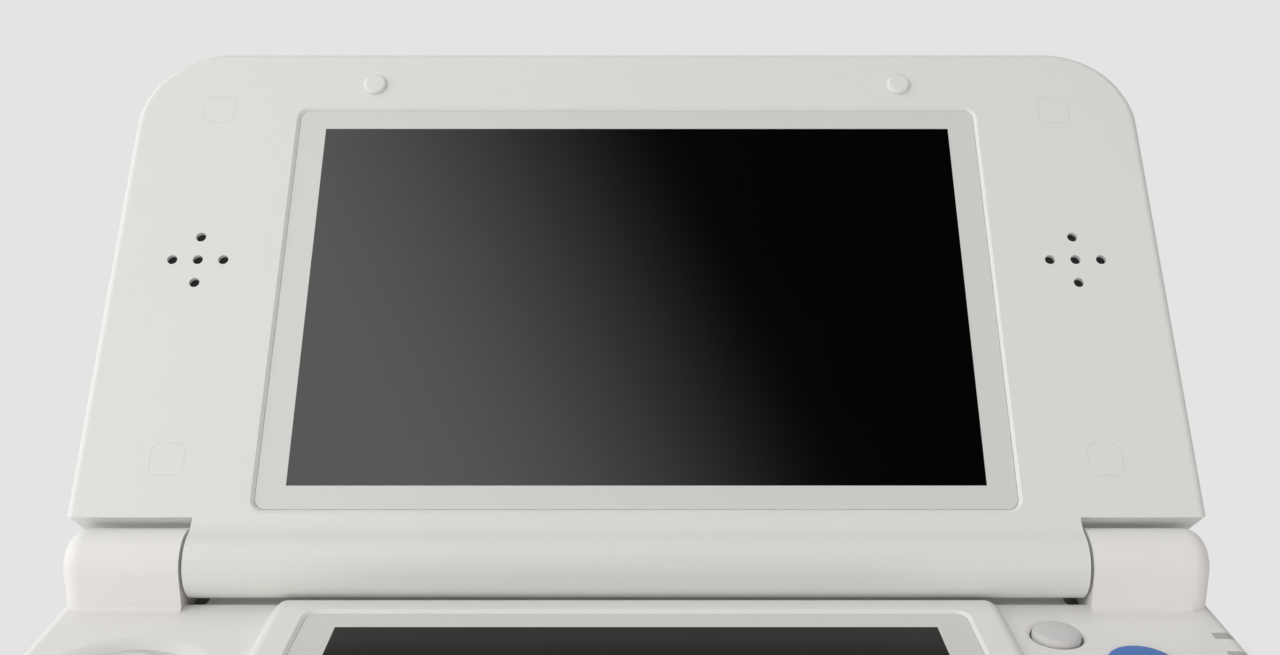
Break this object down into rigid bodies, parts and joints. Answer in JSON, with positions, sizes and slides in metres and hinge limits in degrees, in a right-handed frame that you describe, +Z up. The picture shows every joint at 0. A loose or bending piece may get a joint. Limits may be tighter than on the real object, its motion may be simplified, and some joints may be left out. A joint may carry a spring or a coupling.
{
  "type": "clamshell handheld game console",
  "caption": "Clamshell handheld game console with two displays, a friction hinge, thumb pad, direction pad, face buttons and shoulder triggers.",
  "frame": {"origin": "centre of the underside, on the surface that the console rests on", "axes": "+X to the player's right along the hinge, +Y from the front edge back to the hinge, +Z up out of the control deck"},
  "size_m": [0.142, 0.1274, 0.0744],
  "materials": {
    "white_plastic": "satin, warm white",
    "window_border": "smooth, white print behind a clear window",
    "pad_plastic": "fine matte, pale grey",
    "dark_glass": "polished, black",
    "display_back": "bare sheet",
    "steel": "plated",
    "black_plastic": "matte",
    "circuit_board": "solder mask",
    "rubber": "matte",
    "blue_plastic": "gloss, mid blue",
    "flex_film": "amber film"
  },
  "bodies": {
    "base": {"deck_case": "white_plastic", "lower_case": "white_plastic", "cover_plate": "white_plastic", "cover_screws": "steel", "case_screws": "steel", "lower_bezel": "window_border", "touch_panel": "dark_glass", "lower_lcd": "display_back", "main_board": "circuit_board", "battery": "display_back", "card_cage": "steel", "sd_socket": "steel", "headphone_jack": "black_plastic", "charge_socket": "black_plastic", "infrared_window": "dark_glass", "wireless_module": "display_back", "button_membranes": "rubber", "circle_pad_housing": "black_plastic", "status_lights": "rubber", "shoulder_pins": "steel", "shoulder_springs": "steel", "hinge_bush": "steel", "hinge_unit": "steel"},
    "lid": {"lid_inner_case": "white_plastic", "lid_outer_case": "white_plastic", "lid_cover_plate": "white_plastic", "upper_bezel": "window_border", "upper_glass": "dark_glass", "upper_lcd": "display_back", "lid_pads": "pad_plastic", "screw_covers": "white_plastic", "lid_screws": "steel", "speakers": "black_plastic", "camera_lenses": "black_plastic", "lid_board": "circuit_board", "hinge_shaft": "steel", "hinge_flex": "flex_film"},
    "pad_carrier": {"circle_pad_carrier": "pad_plastic"},
    "pad_cap": {"circle_pad": "pad_plastic"},
    "dpad_seat": {"dpad_rubber": "rubber"},
    "dpad_key": {"dpad": "white_plastic"},
    "nub_stem": {"nub_post": "steel"},
    "nub": {"nub_cap": "pad_plastic"},
    "button_top": {"button_top": "blue_plastic"},
    "button_right": {"button_right": "white_plastic"},
    "button_bottom": {"button_bottom": "white_plastic"},
    "button_left": {"button_left": "white_plastic"},
    "start_button": {"start_button": "white_plastic"},
    "select_button": {"select_button": "white_plastic"},
    "home_button": {"home_button": "white_plastic"},
    "power_button": {"power_button": "white_plastic"},
    "trigger_left": {"trigger_left": "white_plastic"},
    "trigger_right": {"trigger_right": "white_plastic"},
    "rear_button_left": {"rear_button_left": "white_plastic"},
    "rear_button_right": {"rear_button_right": "white_plastic"},
    "stylus": {"stylus": "white_plastic"},
    "volume_slider": {"volume_slider": "pad_plastic"},
    "depth_slider": {"depth_slider": "pad_plastic"}
  },
  "joints": [
    {"name": "lid_hinge", "type": "hinge", "parent": "base", "child": "lid", "pos_m": [0, 0.0351, 0.0157], "axis": [-1, 0, 0], "range_deg": [-130, 25]},
    {"name": "circle_pad_sideways", "type": "slide", "parent": "base", "child": "pad_carrier", "axis": [1, 0, 0], "range_m": [-0.0019, 0.0019], "stiffness_N_per_m": 250},
    {"name": "circle_pad_forward", "type": "slide", "parent": "pad_carrier", "child": "pad_cap", "axis": [0, 1, 0], "range_m": [-0.0019, 0.0019], "stiffness_N_per_m": 250},
    {"name": "dpad_tilt_forward", "type": "hinge", "parent": "base", "child": "dpad_seat", "pos_m": [-0.0574, -0.0136, 0.0091], "axis": [1, 0, 0], "range_deg": [-2.5, 2.5], "stiffness_Nm_per_rad": 0.4},
    {"name": "dpad_tilt_sideways", "type": "hinge", "parent": "dpad_seat", "child": "dpad_key", "pos_m": [-0.0574, -0.0136, 0.0091], "axis": [0, 1, 0], "range_deg": [-2.5, 2.5], "stiffness_Nm_per_rad": 0.4},
    {"name": "nub_tilt_forward", "type": "hinge", "parent": "base", "child": "nub_stem", "pos_m": [0.0495, 0.0247, 0.0093], "axis": [1, 0, 0], "range_deg": [-2.5, 2.5], "stiffness_Nm_per_rad": 0.6},
    {"name": "nub_tilt_sideways", "type": "hinge", "parent": "nub_stem", "child": "nub", "pos_m": [0.0495, 0.0247, 0.0093], "axis": [0, 1, 0], "range_deg": [-2.5, 2.5], "stiffness_Nm_per_rad": 0.6},
    {"name": "button_top_press", "type": "slide", "parent": "base", "child": "button_top", "axis": [0, 0, -1], "range_m": [0, 0.0006], "stiffness_N_per_m": 900},
    {"name": "button_right_press", "type": "slide", "parent": "base", "child": "button_right", "axis": [0, 0, -1], "range_m": [0, 0.0006], "stiffness_N_per_m": 900},
    {"name": "button_bottom_press", "type": "slide", "parent": "base", "child": "button_bottom", "axis": [0, 0, -1], "range_m": [0, 0.0006], "stiffness_N_per_m": 900},
    {"name": "button_left_press", "type": "slide", "parent": "base", "child": "button_left", "axis": [0, 0, -1], "range_m": [0, 0.0006], "stiffness_N_per_m": 900},
    {"name": "start_button_press", "type": "slide", "parent": "base", "child": "start_button", "axis": [0, 0, -1], "range_m": [0, 0.0006], "stiffness_N_per_m": 700},
    {"name": "select_button_press", "type": "slide", "parent": "base", "child": "select_button", "axis": [0, 0, -1], "range_m": [0, 0.0006], "stiffness_N_per_m": 700},
    {"name": "home_button_press", "type": "slide", "parent": "base", "child": "home_button", "axis": [0, 0, -1], "range_m": [0, 0.0006], "stiffness_N_per_m": 700},
    {"name": "power_button_press", "type": "slide", "parent": "base", "child": "power_button", "axis": [0, 1, 0], "range_m": [0, 0.0004], "stiffness_N_per_m": 1500},
    {"name": "trigger_left_press", "type": "hinge", "parent": "base", "child": "trigger_left", "pos_m": [-0.0494, 0.0373, 0.0065], "axis": [0, 0, 1], "range_deg": [0, 2.8], "stiffness_Nm_per_rad": 0.3},
    {"name": "trigger_right_press", "type": "hinge", "parent": "base", "child": "trigger_right", "pos_m": [0.0494, 0.0373, 0.0065], "axis": [0, 0, -1], "range_deg": [0, 2.8], "stiffness_Nm_per_rad": 0.3},
    {"name": "rear_button_left_press", "type": "slide", "parent": "base", "child": "rear_button_left", "axis": [0, -1, 0], "range_m": [0, 0.0008], "stiffness_N_per_m": 700},
    {"name": "rear_button_right_press", "type": "slide", "parent": "base", "child": "rear_button_right", "axis": [0, -1, 0], "range_m": [0, 0.0008], "stiffness_N_per_m": 700},
    {"name": "stylus_out", "type": "slide", "parent": "base", "child": "stylus", "axis": [0, -1, 0], "range_m": [0, 0.068]},
    {"name": "volume_slider_move", "type": "slide", "parent": "lid", "child": "volume_slider", "axis": [0, 0.6428, 0.766], "range_m": [-0.004, 0.004]},
    {"name": "depth_slider_move", "type": "slide", "parent": "lid", "child": "depth_slider", "axis": [0, 0.6428, 0.766], "range_m": [-0.004, 0.004]}
  ]
}
